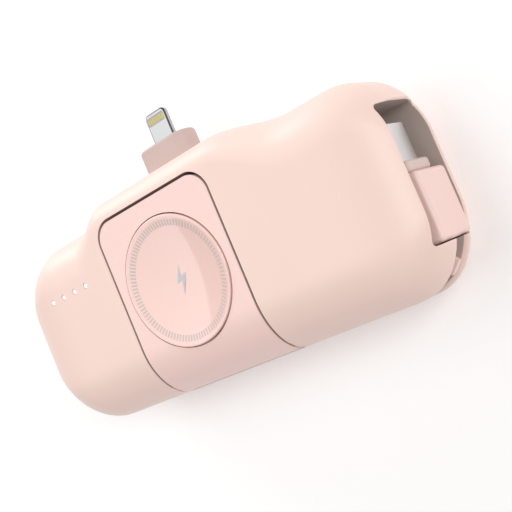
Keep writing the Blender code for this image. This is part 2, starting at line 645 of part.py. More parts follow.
def build_electronics(board, dark, steel, plastic, lamp):
    """Board, coil, chip, input socket, switch, and the lamps with their light pipes."""
    box("main_board", BOARD_LOW, BOARD_HIGH, board)
    top = BOARD_HIGH[2] + GAP
    inductor = box("power_inductor", (-52 * MM, -15 * MM, top), (-45 * MM, -8 * MM, top + 3.4 * MM), dark)
    soften(inductor, 0.6 * MM)
    box("charge_chip", (-41 * MM, -14 * MM, top), (-36 * MM, -9 * MM, top + 0.9 * MM), dark)
    outer = stadium((MID_Y, MID_Z), 4.47 * MM, 1.6 * MM)
    inner = stadium((MID_Y, MID_Z), 4.17 * MM, 1.3 * MM)
    socket = prism("input_socket", outer, -61.2 * MM, -54.2 * MM, "X", steel)
    combine(socket, prism("socket_mouth", inner, -FAR, -55 * MM, "X"), "DIFFERENCE")
    box("input_socket_tongue", (-60.6 * MM, MID_Y - 3.3 * MM, MID_Z - 0.35 * MM),
        (-55.2 * MM, MID_Y + 3.3 * MM, MID_Z + 0.35 * MM), plastic)
    switch = box("power_switch", (BUTTON_X - 3 * MM, 4.4 * MM, 12 * MM),
                 (BUTTON_X + 3 * MM, 7.6 * MM, 17 * MM), dark)
    combine(switch, rod("switch_plunger", 0.9 * MM, 7 * MM, 8.6 * MM, (BUTTON_X, 0, MID_Z), "Y",
                        segments=16), "UNION")
    for number, x in enumerate(LED_XS, start=1):
        box(f"status_lamp_{number}", (x - 0.8 * MM, LED_Y - 0.4 * MM, top),
            (x + 0.8 * MM, LED_Y + 0.4 * MM, top + 0.7 * MM), lamp)
        rod(f"light_pipe_{number}", LED_RADIUS, top + MM, THICKNESS - 0.1 * MM, (x, LED_Y, 0), "Z", lamp, 14)


def build_button(look):
    """Power button: a pill-shaped cap with a flange that keeps it inside the shell."""
    cap = prism("power_button", stadium((MID_Z, BUTTON_X), BUTTON_HALF_WIDTH, BUTTON_HALF_LENGTH),
                9.6 * MM, BUTTON_TOP_Y, "Y", look)
    soften(cap, 0.3 * MM)
    flange = stadium((MID_Z, BUTTON_X), BUTTON_HALF_WIDTH + 1.0 * MM, BUTTON_HALF_LENGTH + 1.0 * MM)
    combine(cap, prism("button_flange", flange, 9.8 * MM, 10.8 * MM, "Y"), "UNION")
    return cap


def build():
    """Build every piece and hang the moving ones on their joints."""
    clear_scene()
    peach = material("shell_plastic", (0.93, 0.70, 0.61), 0.42)
    rose = material("panel_plastic", (0.95, 0.74, 0.68), 0.28)
    seat = material("seat_rubber", (0.66, 0.50, 0.46), 0.55)
    glossy = material("disc_gloss", (0.96, 0.76, 0.70), 0.12)
    steel = material("plated_steel", (0.78, 0.78, 0.78), 0.25, 1.0)
    gold = material("contact_gold", (0.85, 0.72, 0.38), 0.25, 1.0)
    copper = material("coil_copper", (0.72, 0.35, 0.18), 0.35, 1.0)
    ferrite = material("ferrite_grey", (0.09, 0.09, 0.10), 0.7)
    board = material("board_green", (0.03, 0.22, 0.10), 0.45)
    dark = material("black_resin", (0.02, 0.02, 0.02), 0.5)
    wrap = material("cell_wrap", (0.05, 0.25, 0.55), 0.35)
    white = material("white_plastic", (0.85, 0.85, 0.83), 0.4)
    cable = material("cable_jacket", (0.80, 0.62, 0.55), 0.5)
    lamp = material("lamp_clear", (0.93, 0.93, 0.92), 0.2)

    build_shell(peach)
    build_back_cover(peach)
    build_screws(steel)
    build_hinge_pin(steel)
    build_phone_plug(seat, steel, gold)
    build_cable(cable)
    build_cable_holders(cable, rose)
    build_cells(wrap, white, steel)
    build_electronics(board, dark, steel, dark, lamp)
    pad = [build_pad_panel(rose)] + build_pad_inside(white, glossy, copper, ferrite, steel, board)
    hang_on(pad, "watch_pad_hinge", PIN_MIDDLE)
    plug = build_cable_plug(rose, steel, dark)
    hang_on(plug, "cable_plug_hinge", (GRIP_HIGH[0], GRIP_LOW[1], MID_Z))
    hang_on([build_button(rose)], "power_button_slide", (BUTTON_X, BUTTON_TOP_Y, MID_Z))


build()
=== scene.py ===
"""Pocket power bank with a flip-up watch pad, a fixed phone plug and a tethered cable plug.

The pieces follow the order in which the bank is put together: the moulded shell and its cover,
the watch pad, the lamps and button, the two plugs, the cable, and what is inside. Lengths are metres.
"""

import math

import bmesh
import bpy
import numpy as np
from mathutils import Matrix, Vector


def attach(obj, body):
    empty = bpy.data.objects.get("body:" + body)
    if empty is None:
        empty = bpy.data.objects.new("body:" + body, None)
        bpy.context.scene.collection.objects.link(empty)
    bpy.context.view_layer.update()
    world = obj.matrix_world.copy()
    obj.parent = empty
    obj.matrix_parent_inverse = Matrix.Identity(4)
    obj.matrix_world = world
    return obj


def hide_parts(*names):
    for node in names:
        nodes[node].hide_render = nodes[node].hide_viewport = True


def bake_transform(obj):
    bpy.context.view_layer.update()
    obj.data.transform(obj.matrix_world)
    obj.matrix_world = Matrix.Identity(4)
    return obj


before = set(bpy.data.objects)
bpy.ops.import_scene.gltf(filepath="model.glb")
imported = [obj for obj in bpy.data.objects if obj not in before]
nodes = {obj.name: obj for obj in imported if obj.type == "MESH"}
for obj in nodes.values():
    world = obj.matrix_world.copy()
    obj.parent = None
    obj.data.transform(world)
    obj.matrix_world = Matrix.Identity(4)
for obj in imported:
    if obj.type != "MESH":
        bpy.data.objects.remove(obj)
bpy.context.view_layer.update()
MM = 0.001


# ------------------------------------------------------------------ camera
# A portrait lens held close over the bank, which lies on its back with its phone plug to the far side.
# The camera is rolled on its side, so that the plug points up and to the left.

eye = Vector((136.306, -23.927, 182.628)) * MM
camera_turn = Matrix(((0.72164, 0.34987, 0.59735),
                      (-0.38711, 0.91931, -0.07078),
                      (-0.57392, -0.18016, 0.79885)))
camera_data = bpy.data.cameras.new("camera")
camera_data.lens = 64.402
camera_data.sensor_width = 36.0
camera_data.clip_start = 0.01
camera_data.clip_end = 20.0
camera = bpy.data.objects.new("camera", camera_data)
camera.matrix_world = Matrix.Translation(eye) @ camera_turn.normalized().to_4x4()
bpy.context.scene.collection.objects.link(camera)
bpy.context.scene.camera = camera


# ------------------------------------------------------------------ floor and studio light
# A plain white table that runs on past the view, a wide soft light above the far left of the bank,
# and an even pale surround that fills the shadows.

def soft_light(name, place, aim, size, power, colour):
    """One soft lamp of a size (width, height) at a place, turned to face a point."""
    data = bpy.data.lights.new(name, "AREA")
    data.shape = "RECTANGLE"
    data.size, data.size_y = size
    data.energy = power
    data.color = colour
    lamp = bpy.data.objects.new(name, data)
    facing = (Vector(aim) - Vector(place)).to_track_quat("-Z", "Y")
    lamp.matrix_world = Matrix.Translation(Vector(place)) @ facing.to_matrix().to_4x4()
    bpy.context.scene.collection.objects.link(lamp)


def pale_floor():
    """A square of table with a faint cloudy tone, level with the bank's back."""
    data = bpy.data.meshes.new("floor")
    reach = 3.0
    data.from_pydata([(-reach, -reach, 0), (reach, -reach, 0), (reach, reach, 0), (-reach, reach, 0)],
                     [], [(0, 1, 2, 3)])
    floor = bpy.data.objects.new("floor", data)
    bpy.context.scene.collection.objects.link(floor)
    look = bpy.data.materials.new("white_table")
    look.use_nodes = True
    tree = look.node_tree
    shader = tree.nodes["Principled BSDF"]
    shader.inputs["Roughness"].default_value = 0.9
    shader.inputs["Specular IOR Level"].default_value = 0.1
    shader.inputs["Emission Color"].default_value = (1.0, 1.0, 1.0, 1.0)
    shader.inputs["Emission Strength"].default_value = 0.12
    place = tree.nodes.new("ShaderNodeTexCoord")
    cloud = tree.nodes.new("ShaderNodeTexNoise")
    cloud.inputs["Scale"].default_value = 4.0
    tone = tree.nodes.new("ShaderNodeMix")
    tone.data_type = "RGBA"
    tone.inputs["A"].default_value = (0.955, 0.955, 0.957, 1)
    tone.inputs["B"].default_value = (0.965, 0.964, 0.962, 1)
    tree.links.new(place.outputs["Object"], cloud.inputs["Vector"])
    tree.links.new(cloud.outputs["Fac"], tone.inputs["Factor"])
    tree.links.new(tone.outputs["Result"], shader.inputs["Base Color"])
    data.materials.append(look)


pale_floor()
bank_middle = (0.0, -8.0 * MM, 15.0 * MM)
warm_white = (1.0, 0.99, 0.985)
soft_light("overhead_box", (-0.40, 0.15, 0.60), (-0.40, 0.15, 0.0), (0.80, 0.70), 2.3, warm_white)
soft_light("far_side", (-0.15, 0.85, 0.55), bank_middle, (0.6, 0.6), 1.0, warm_white)
soft_light("left_far", (-0.6, 0.8, 0.15), bank_middle, (0.5, 0.5), 3.7, warm_white)
soft_light("near_end", (0.75, 0.1, 0.75), bank_middle, (0.5, 0.5), 4.6, warm_white)
world = bpy.data.worlds.new("pale_surround")
world.use_nodes = True
surround = world.node_tree.nodes["Background"]
surround.inputs["Color"].default_value = (*warm_white, 1)
surround.inputs["Strength"].default_value = 0.34
bpy.context.scene.world = world
bpy.context.scene.view_settings.view_transform = "Standard"
bpy.context.scene.view_settings.look = "None"


# ------------------------------------------------------------------ front shell
# One injection moulding in a soft-touch peach plastic: a rounded bar with a low hump under the
# phone plug, a well for the watch pad, a bay in its end for the cable plug, and a cable trough.

HALF_LENGTH = 61.95 * MM
MID_Z = 14.5 * MM
BOTTOM_Y = -32.37 * MM
TOP_Y = 14.87 * MM
MID_Y = (BOTTOM_Y + TOP_Y) / 2
HUMP_HEIGHT = 3.5 * MM
HUMP_RISE_X = -25 * MM
HUMP_RISE_LENGTH = 12 * MM
HUMP_FALL_X = 27.5 * MM
HUMP_FALL_LENGTH = 20 * MM
WALL = 2.0 * MM
GAP = 0.3 * MM
SPLIT_Z = 3.2 * MM
FAR = 90 * MM
LEFT_TAPER = 19 * MM
LEFT_POWER = 1.9
RIGHT_TAPER = 15.5 * MM
RIGHT_POWER = 2.3
PLAN_TAPER = 22.0 * MM
PLAN_POWER = 2.2
PAD_X = -1.85 * MM
PAD_TOP_Y = 12.37 * MM
PAD_CORNER = 5.0 * MM
PAD_HALF_WIDTH = 18.1 * MM
PAD_SIDE_GAP = 0.58 * MM
PAD_TOP_GAP = 0.72 * MM
PIN_Y = -27.84 * MM
PIN_Z = 19.5 * MM
PIN_MIDDLE = (PAD_X, PIN_Y, PIN_Z)
PIN_BORE = 1.3 * MM
PIN_BORE_DEPTH = 23.8 * MM
WELL_FLOOR_Z = 21.7 * MM
KNUCKLE_WELL = 5.0 * MM
KNUCKLE_WELL_HALF_WIDTH = 18.8 * MM
SEAT_X = -0.6 * MM
SEAT_HOLE = (4.3 * MM, 8.4 * MM)
BUTTON_X = -43.0 * MM
BUTTON_HOLE = (2.2 * MM, 4.3 * MM)
SOCKET_HOLE = (4.8 * MM, 1.95 * MM)
LAMP_HOLE = 0.75 * MM
SCREW_BORE = 1.25 * MM
GLAND_HOLE = 2.65 * MM
BAY_FLOOR_X = 50.0 * MM
BAY_LOW = (-23.2 * MM, 7.3 * MM)
BAY_HIGH = (6.77 * MM, 23.0 * MM)
TROUGH_DEPTH = 5.5 * MM
TROUGH_HALF_WIDTH = 2.5 * MM
TROUGH_START_X = 27.0 * MM
CABLE_DEPTH = 3.6 * MM
SCREW_PLACES = ((-33 * MM, -20 * MM), (45 * MM, 3 * MM), (45 * MM, -18 * MM))
LAMP_PLACES = [((-43.45 + 4.41 * index) * MM, 1.34 * MM) for index in range(4)]


def solid(name, rings, around=False, look=None):
    """A closed skin through a stack of rings, given as an array of (ring, point, xyz). Each ring joins
    the next with quads; the first and last ring are capped, or joined to each other when around."""
    count, width = rings.shape[:2]
    index = np.arange(count * width).reshape(count, width)
    lower = index if around else index[:-1]
    upper = np.roll(index, -1, axis=0) if around else index[1:]
    quads = np.stack([lower, np.roll(lower, -1, axis=1), np.roll(upper, -1, axis=1), upper], axis=-1)
    caps = [] if around else [index[0][::-1].tolist(), index[-1].tolist()]
    data = bpy.data.meshes.new(name)
    data.from_pydata(rings.reshape(-1, 3).tolist(), [], quads.reshape(-1, 4).tolist() + caps)
    same_place = 1e-7
    no_length = 1e-8
    skin = bmesh.new()
    skin.from_mesh(data)
    bmesh.ops.remove_doubles(skin, verts=skin.verts, dist=same_place)
    bmesh.ops.dissolve_degenerate(skin, edges=skin.edges, dist=no_length)
    bmesh.ops.recalc_face_normals(skin, faces=skin.faces)
    skin.to_mesh(data)
    skin.free()
    made = bpy.data.objects.new(name, data)
    bpy.context.scene.collection.objects.link(made)
    if look is not None:
        data.materials.append(look)
        settle(made)
    return made


def settle(piece):
    """Smooth shading with crisp edges above 32 degrees, weighted towards the large faces."""
    piece.data.shade_smooth()
    piece.data.set_sharp_from_angle(angle=math.radians(32))
    weigh = piece.modifiers.new("even_normals", "WEIGHTED_NORMAL")
    weigh.keep_sharp = True
    weigh.weight = 60
    freeze(piece)


def freeze(piece):
    """Make an object's modifiers a final part of its mesh."""
    graph = bpy.context.evaluated_depsgraph_get()
    final = bpy.data.meshes.new_from_object(piece.evaluated_get(graph), depsgraph=graph)
    piece.modifiers.clear()
    piece.data = final


def coat(piece, *looks):
    """Give a piece its finishes, in the order of its material slots."""
    piece.data.materials.clear()
    for look in looks:
        piece.data.materials.append(look)


def carve(piece, tools, operation="DIFFERENCE"):
    """Cut, join or intersect a piece with each tool in turn, then drop the tools."""
    for tool in tools:
        step = piece.modifiers.new(tool.name, "BOOLEAN")
        step.operation = operation
        step.solver = "EXACT"
        step.object = tool
    freeze(piece)
    for tool in tools:
        bpy.data.objects.remove(tool, do_unlink=True)


def joined(name, tools):
    """Several separate tools as one mesh."""
    gathered = bmesh.new()
    for tool in tools:
        gathered.from_mesh(tool.data)
        bpy.data.objects.remove(tool, do_unlink=True)
    data = bpy.data.meshes.new(name)
    gathered.to_mesh(data)
    gathered.free()
    made = bpy.data.objects.new(name, data)
    bpy.context.scene.collection.objects.link(made)
    return made


AXIS_ORDERS = {"X": (2, 0, 1), "Y": (1, 2, 0), "Z": (0, 1, 2)}


def turn_to(points, axis):
    """Points drawn as (u, v, along), given with along on an axis and u, v on the next two in turn."""
    return points[..., AXIS_ORDERS[axis]]


def prism(name, outline, start, end, axis, look=None):
    """An outline of (u, v) points pushed from start to end along an axis."""
    outline = np.asarray(outline, float)
    rings = [np.column_stack([outline, np.full(len(outline), height)]) for height in (start, end)]
    return solid(name, turn_to(np.array(rings), axis), look=look)


def turned(name, profile, centre, axis, segments=96, look=None):
    """A profile of (radius, height) turned once round an axis through centre:
    (radius cos a, radius sin a, height) for a round the circle."""
    profile = np.asarray(profile, float)
    turn = np.linspace(0, 2 * math.pi, segments, endpoint=False)
    rings = np.stack([profile[:, :1] * np.cos(turn), profile[:, :1] * np.sin(turn),
                      np.repeat(profile[:, 1:], segments, axis=1)], axis=-1)
    closed = profile[0, 0] > 0
    return solid(name, turn_to(rings, axis) + np.array(centre), around=closed, look=look)


def rod(name, radius, start, end, centre, axis, segments=64, look=None):
    """A round bar between two heights along an axis."""
    return turned(name, [(0, start), (radius, start), (radius, end), (0, end)], centre, axis, segments,
                  look)


def block(name, low, high, look=None):
    """A plain block between two corners."""
    outline = [(low[0], low[1]), (high[0], low[1]), (high[0], high[1]), (low[0], high[1])]
    return prism(name, outline, low[2], high[2], "Z", look)


def oblong(centre, half_u, half_v, radius, steps=14):
    """A rectangle with round corners: each corner is centre + offset + radius (cos a, sin a)."""
    corner = np.arange(4)[:, None]
    angle = math.pi / 2 * (corner + np.linspace(0, 1, steps + 1))
    side_u = np.array([1, -1, -1, 1])[:, None]
    side_v = np.array([1, 1, -1, -1])[:, None]
    u = centre[0] + side_u * (half_u - radius) + radius * np.cos(angle)
    v = centre[1] + side_v * (half_v - radius) + radius * np.sin(angle)
    return np.column_stack([u.ravel(), v.ravel()])


def oval(centre, half_u, half_v, steps=20):
    """An oblong whose ends are almost full half circles."""
    return oblong(centre, half_u, half_v, min(half_u, half_v) * 0.995, steps)


def smooth_step(value):
    """t t (3 - 2 t), for t held between 0 and 1."""
    value = np.clip(value, 0, 1)
    return value * value * (3 - 2 * value)


def fullness(inward, taper, power):
    """(1 - t^p)^(1/p), where t falls from 1 at the tip to 0 one taper inward."""
    outward = np.clip(1 - inward / taper, 0, 1)
    return (1 - outward ** power) ** (1 / power)


def section_sizes(x):
    """Top, bottom, half depth and the corner radii (tall, deep) of the bar's cross-section at x. The
    upper corners are tighter on the hump."""
    rise = smooth_step((x - HUMP_RISE_X) / HUMP_RISE_LENGTH + 0.5)
    share = rise * (1 - smooth_step((x - HUMP_FALL_X) / HUMP_FALL_LENGTH + 0.5))
    height = (fullness(x + HALF_LENGTH, LEFT_TAPER, LEFT_POWER)
              * fullness(HALF_LENGTH - x, RIGHT_TAPER, RIGHT_POWER))
    depth = fullness(HALF_LENGTH - np.abs(x), PLAN_TAPER, PLAN_POWER)
    top = MID_Y + (TOP_Y + HUMP_HEIGHT * share - MID_Y) * height
    bottom = MID_Y + (BOTTOM_Y - MID_Y) * height
    top_round = ((11 - 4.7 * share) * MM * height, (10.5 - 3.5 * share) * MM * depth)
    bottom_round = (13.5 * MM * height, 11.5 * MM * depth)
    return top, bottom, MID_Z * depth, top_round, bottom_round


def sections(x, inset=0.0, steps=22, flats=4):
    """The cross-sections at all x as an array of rings. A ring is a rectangle with elliptical corners,
    (edge - r + r cos a, half - r + r sin a), with points spread along its flats; inset moves it in."""
    x = np.asarray(x, float)[:, None]
    top, bottom, half, top_round, bottom_round = section_sizes(x * HALF_LENGTH / (HALF_LENGTH - inset))
    edge = np.hstack([top - inset, bottom + inset, bottom + inset, top - inset])
    half = half - inset
    least = 1e-6 if inset == 0 else MM
    round_y = np.maximum(np.hstack([top_round[0], bottom_round[0], bottom_round[0], top_round[0]]) - inset,
                         least)
    round_z = np.maximum(np.hstack([top_round[1], bottom_round[1], bottom_round[1], top_round[1]]) - inset,
                         least)
    side_y = np.array([1, -1, -1, 1])
    side_z = np.array([1, 1, -1, -1])
    angle = math.pi / 2 * (np.arange(4)[:, None] + np.linspace(0, 1, steps + 1))
    y = (edge - side_y * round_y)[..., None] + round_y[..., None] * np.cos(angle)
    z = (MID_Z + side_z * (half - round_z))[..., None] + round_z[..., None] * np.sin(angle)
    share = np.linspace(0, 1, flats + 1)[1:-1]
    next_y, next_z = np.roll(y, -1, axis=1)[..., :1], np.roll(z, -1, axis=1)[..., :1]
    y = np.concatenate([y, y[..., -1:] + (next_y - y[..., -1:]) * share], axis=-1).reshape(len(x), -1)
    z = np.concatenate([z, z[..., -1:] + (next_z - z[..., -1:]) * share], axis=-1).reshape(len(x), -1)
    return np.stack([np.broadcast_to(x, y.shape), y, z], axis=-1)


def stations(first_angle, end_steps, middle_steps, inset=0.0):
    """Places of the sections along x, closer together towards the tips."""
    reach = HALF_LENGTH - inset
    angle = np.linspace(first_angle, math.pi / 2, end_steps, endpoint=False)
    ends = reach - PLAN_TAPER * (1 - np.cos(angle) ** (2 / PLAN_POWER))
    inner = reach - PLAN_TAPER
    return np.concatenate([-ends, np.linspace(-inner, inner, middle_steps), ends[::-1]])


def outer_skin(name):
    """The whole outside of the bank, shared by the shell, its cover and the watch pad."""
    return solid(name, sections(stations(math.radians(10), end_steps=34, middle_steps=110)))


def hollow_skin(name):
    """The hollow inside the walls, left coarse because it is never seen."""
    places = stations(math.radians(24), end_steps=6, middle_steps=16, inset=WALL)
    return solid(name, sections(places, inset=WALL, steps=4, flats=1))


def pad_outline(side_gap, top_gap, steps=24):
    """Front outline of the watch pad, with two round corners at its top and open ends far below."""
    radius, half, top = PAD_CORNER + side_gap, PAD_HALF_WIDTH + side_gap, PAD_TOP_Y + top_gap
    angle = np.linspace(0, math.pi / 2, steps + 1)
    across = half - radius + radius * np.cos(angle)
    along = top - radius + radius * np.sin(angle)
    u = np.concatenate([[half], across, -across[::-1], [-half]])
    v = np.concatenate([[-FAR], along, along[::-1], [-FAR]])
    return np.column_stack([PAD_X + u, v])


def corner_line(depth, first=38.0, steps=40):
    """The lower corner of the right-hand end at a depth, from a first angle near the bay down to the
    straight bottom: x = end - taper (1 - cos^(2/p)), y = middle + drop sin^(2/p)."""
    angle = np.radians(np.linspace(first, 90, steps + 1))
    x = HALF_LENGTH - RIGHT_TAPER * (1 - np.maximum(np.cos(angle), 0) ** (2 / RIGHT_POWER))
    y = MID_Y + (BOTTOM_Y - MID_Y) * np.sin(angle) ** (2 / RIGHT_POWER) + depth
    return np.column_stack([x * (HALF_LENGTH - depth) / HALF_LENGTH, y])


def trough_walls(name, depth, half_width, start_x):
    """The trough's room from a depth outward, straight-sided."""
    floor = corner_line(depth)
    outside = [(FAR, floor[0, 1]), (FAR, -FAR), (start_x, -FAR)]
    outline = np.vstack([[(start_x, floor[-1, 1])], floor[::-1], outside])
    return prism(name, outline[::-1], MID_Z - half_width, MID_Z + half_width, "Z")


def trough_lips(name, radius=0.9 * MM, steps=8):
    """The rounded lips of the trough: its cross-section opens out by a quarter circle at the skin,
    carried round the corner and along the bottom."""
    turn = np.linspace(0, math.pi / 2, steps + 1)
    depths = np.concatenate([[radius * 1.6], radius * (1 - np.sin(turn)), [-1.2 * MM]])
    widths = np.concatenate([[0.0], radius * (1 - np.cos(turn)), [radius]]) + TROUGH_HALF_WIDTH
    rows = []
    for depth in depths:
        line = corner_line(depth, first=36.0)
        straight = np.linspace(line[-1, 0], TROUGH_START_X, 12)[1:]
        bottom = np.column_stack([straight, np.full(len(straight), line[-1, 1])])
        rows.append(np.vstack([line, bottom]))
    rows = np.stack(rows, axis=1)
    right = np.dstack([rows, np.broadcast_to(MID_Z + widths, rows.shape[:2])])
    left = np.dstack([rows, np.broadcast_to(MID_Z - widths, rows.shape[:2])])
    return solid(name, np.concatenate([right, left[:, ::-1]], axis=1))


def skin_x(y, z):
    """Where the skin of the right-hand end lies for points (y, z), by halving the range 24 times."""
    low, high = np.full(y.shape, 38 * MM), np.full(y.shape, HALF_LENGTH)
    for _ in range(24):
        x = (low + high) / 2
        top, bottom, half, top_round, bottom_round = section_sizes(x)
        upper = y > MID_Y
        round_y = np.maximum(np.where(upper, top_round[0], bottom_round[0]), 1e-7)
        round_z = np.maximum(np.where(upper, top_round[1], bottom_round[1]), 1e-7)
        past_y = np.where(upper, y - top, bottom - y) + round_y
        past_z = np.abs(z - MID_Z) - half + round_z
        bulge = (np.maximum(past_y, 0) / round_y) ** 2 + (np.maximum(past_z, 0) / round_z) ** 2
        inside = bulge < 1
        low, high = np.where(inside, x, low), np.where(inside, high, x)
    return (low + high) / 2


def bay_room(name, steps=8):
    """The plug's bay: a straight-walled pocket whose mouth opens out in a rolled lip. At each point of
    the mouth a circle of the lip's radius rolls between the wall and the skin. The lip is half a
    millimetre at the back and thins to a crisp edge along the front."""
    middle = ((BAY_LOW[0] + BAY_HIGH[0]) / 2, (BAY_LOW[1] + BAY_HIGH[1]) / 2)
    half = ((BAY_HIGH[0] - BAY_LOW[0]) / 2, (BAY_HIGH[1] - BAY_LOW[1]) / 2)
    corners = oblong(middle, half[0], half[1], 1.2 * MM, 12)
    corners = np.vstack([corners, corners[:1]])
    gone = np.concatenate([[0], np.cumsum(np.hypot(*np.diff(corners, axis=0).T))])
    even = np.linspace(0, gone[-1], 300, endpoint=False)
    mouth = np.column_stack([np.interp(even, gone, corners[:, 0]), np.interp(even, gone, corners[:, 1])])
    lip = (0.2 + 0.3 * (1 - smooth_step((mouth[:, 1:] - 16 * MM) / (6 * MM)))) * MM
    x = skin_x(mouth[:, 0], mouth[:, 1])
    point = np.column_stack([x, mouth])
    along = np.roll(point, -1, axis=0) - np.roll(point, 1, axis=0)
    along /= np.linalg.norm(along, axis=1)[:, None]
    tiny = 0.05 * MM
    slope = np.column_stack([np.ones(len(x)),
                             -(skin_x(mouth[:, 0] + tiny, mouth[:, 1]) - x) / tiny,
                             -(skin_x(mouth[:, 0], mouth[:, 1] + tiny) - x) / tiny])
    normal = slope / np.linalg.norm(slope, axis=1)[:, None]
    wall = np.cross(np.cross(along, [-1.0, 0, 0]), along)
    wall /= np.linalg.norm(wall, axis=1)[:, None]
    away = np.cross(along, normal)
    outward = point - [0, *middle]
    outward[:, 0] = 0
    away *= np.sign((away * outward).sum(axis=1))[:, None]
    away /= np.linalg.norm(away, axis=1)[:, None]
    cosine = np.clip((wall * away).sum(axis=1), -0.95, 0.95)
    halved = np.arccos(cosine)[:, None] / 2
    bisector = (wall + away) / np.linalg.norm(wall + away, axis=1)[:, None]
    centre = point + bisector * (lip / np.sin(halved) - 0.01 * MM)
    from_wall = point + wall * lip / np.tan(halved) - centre
    from_skin = point + away * lip / np.tan(halved) - centre
    rings = [np.column_stack([np.full(len(mouth), BAY_FLOOR_X), mouth])]
    for share in np.linspace(0, 1, steps + 1):
        swing = from_wall * (1 - share) + from_skin * share
        rings.append(centre + swing * lip / np.linalg.norm(swing, axis=1)[:, None])
    rings.append(rings[-1] + [20 * MM, 0, 0])
    return solid(name, np.array(rings))


def shell_hollow():
    """What the shell's walls leave free, less the walls of the wells, the posts and the trough."""
    wall = 1.6 * MM
    hollow = hollow_skin("hollow")
    kept = [
        prism("well_walls", pad_outline(PAD_SIDE_GAP + wall, PAD_TOP_GAP + wall, 6), 20.5 * MM, FAR, "Z"),
        rod("knuckle_walls", 6.3 * MM, -20.2 * MM, 20.2 * MM, PIN_MIDDLE, "X", 32),
        rod("pin_bosses", 3.0 * MM, -25 * MM, 25 * MM, PIN_MIDDLE, "X", 32),
        block("bay_walls", (BAY_FLOOR_X - wall, BAY_LOW[0] - wall, BAY_LOW[1] - wall),
              (FAR, BAY_HIGH[0] + wall, BAY_HIGH[1] + wall)),
        trough_walls("trough_sides", TROUGH_DEPTH + wall, TROUGH_HALF_WIDTH + wall, TROUGH_START_X - wall),
    ]
    kept += [rod(f"post_{i}", 2.4 * MM, 0, FAR, (x, y, 0), "Z", 20) for i, (x, y) in enumerate(SCREW_PLACES)]
    carve(hollow, kept)
    return hollow


def small_openings():
    """The openings that touch nothing else: seat, button, socket, lamps and screw bores."""
    tools = [
        prism("seat_hole", oval((MID_Z, SEAT_X), *SEAT_HOLE), 10 * MM, FAR, "Y"),
        prism("button_hole", oval((MID_Z, BUTTON_X), *BUTTON_HOLE), 8 * MM, FAR, "Y"),
        prism("socket_hole", oval((MID_Y, MID_Z), *SOCKET_HOLE), -FAR, -55 * MM, "X"),
    ]
    tools += [rod(f"lamp_hole_{i}", LAMP_HOLE, 20 * MM, FAR, (x, y, 0), "Z", 32)
              for i, (x, y) in enumerate(LAMP_PLACES)]
    tools += [rod(f"screw_bore_{i}", SCREW_BORE, 0, 9 * MM, (x, y, 0), "Z", 20)
              for i, (x, y) in enumerate(SCREW_PLACES)]
    return joined("small_openings", tools)


def grain_group():
    """Shared moulded-surface effect: a fine spark grain for the bump, a faint cloud in the colour, and
    slightly uneven gloss."""
    group = bpy.data.node_groups.new("moulded_grain", "ShaderNodeTree")
    sockets = (("Place", "INPUT", "NodeSocketVector"), ("Tone", "INPUT", "NodeSocketColor"),
               ("Cloud tone", "INPUT", "NodeSocketColor"), ("Grain size", "INPUT", "NodeSocketFloat"),
               ("Gloss", "INPUT", "NodeSocketFloat"), ("Gloss spread", "INPUT", "NodeSocketFloat"),
               ("Colour", "OUTPUT", "NodeSocketColor"), ("Roughness", "OUTPUT", "NodeSocketFloat"),
               ("Height", "OUTPUT", "NodeSocketFloat"))
    for name, way, kind in sockets:
        group.interface.new_socket(name=name, in_out=way, socket_type=kind)
    enter = group.nodes.new("NodeGroupInput")
    leave = group.nodes.new("NodeGroupOutput")
    cloud = group.nodes.new("ShaderNodeTexNoise")
    cloud.inputs["Scale"].default_value = 45.0
    cloud.inputs["Detail"].default_value = 3.0
    grain = group.nodes.new("ShaderNodeTexNoise")
    grain.inputs["Detail"].default_value = 2.0
    grain.inputs["Roughness"].default_value = 0.6
    tone = group.nodes.new("ShaderNodeMix")
    tone.data_type = "RGBA"
    spread = group.nodes.new("ShaderNodeMath")
    spread.operation = "MULTIPLY_ADD"
    join = group.links.new
    join(enter.outputs["Place"], cloud.inputs["Vector"])
    join(enter.outputs["Place"], grain.inputs["Vector"])
    join(enter.outputs["Grain size"], grain.inputs["Scale"])
    join(cloud.outputs["Fac"], tone.inputs["Factor"])
    join(enter.outputs["Tone"], tone.inputs["A"])
    join(enter.outputs["Cloud tone"], tone.inputs["B"])
    join(tone.outputs["Result"], leave.inputs["Colour"])
    join(grain.outputs["Fac"], spread.inputs[0])
    join(enter.outputs["Gloss spread"], spread.inputs[1])
    join(enter.outputs["Gloss"], spread.inputs[2])
    join(spread.outputs["Value"], leave.inputs["Roughness"])
    join(grain.outputs["Fac"], leave.inputs["Height"])
    return group


moulded_grain = grain_group()


